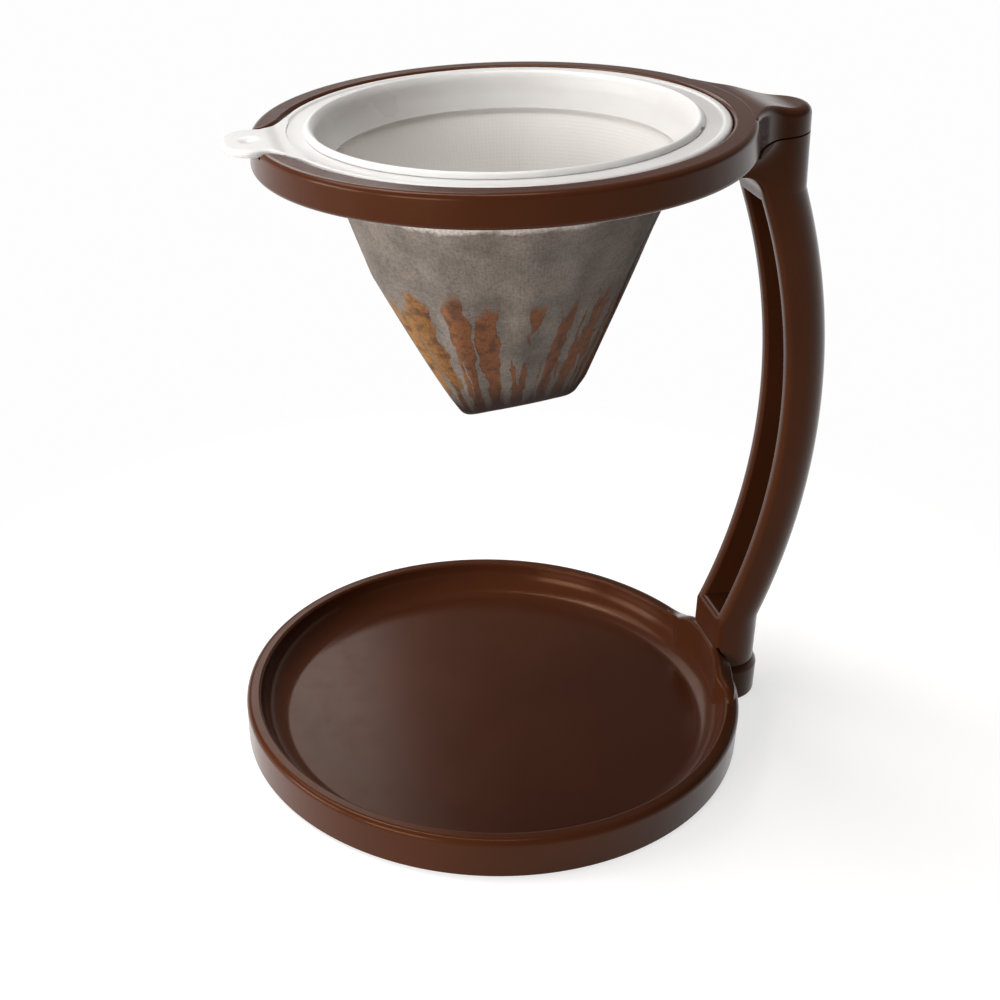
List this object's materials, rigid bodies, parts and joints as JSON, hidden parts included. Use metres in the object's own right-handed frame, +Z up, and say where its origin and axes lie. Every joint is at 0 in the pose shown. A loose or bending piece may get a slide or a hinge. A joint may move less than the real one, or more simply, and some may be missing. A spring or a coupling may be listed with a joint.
{
  "type": "drip coffee maker",
  "caption": "One-cup drip coffee stand: brown tray, bowed arm and ring, holding a cloth filter cone in a white lift-out holder.",
  "frame": {"origin": "on the surface it stands on, under the middle of its overall box", "axes": "+X from the tray's middle towards the arm, +Z up, +Y to the left of someone looking along +X"},
  "size_m": [0.1492, 0.1304, 0.1644],
  "materials": {
    "brown_plastic": "dark brown, high gloss",
    "white_plastic": "white, satin",
    "cloth": "grey-white cotton with coffee stains",
    "screw_steel": "bright zinc plate",
    "pad_rubber": "matt black"
  },
  "bodies": {
    "stand": {"base_tray": "brown_plastic", "support_arm": "brown_plastic", "support_ring": "brown_plastic", "arm_screw_1": "screw_steel", "arm_screw_2": "screw_steel", "foot_pad_1": "pad_rubber", "foot_pad_2": "pad_rubber", "foot_pad_3": "pad_rubber", "foot_pad_4": "pad_rubber"},
    "holder": {"filter_flange": "white_plastic"},
    "insert": {"retaining_ring": "white_plastic", "filter_cloth": "cloth"}
  },
  "joints": [
    {"name": "holder_lift", "type": "slide", "parent": "stand", "child": "holder", "axis": [-0.0534, 0, 0.9986], "range_m": [0, 0.085]},
    {"name": "insert_lift", "type": "slide", "parent": "holder", "child": "insert", "axis": [-0.0534, 0, 0.9986], "range_m": [0, 0.08]}
  ]
}
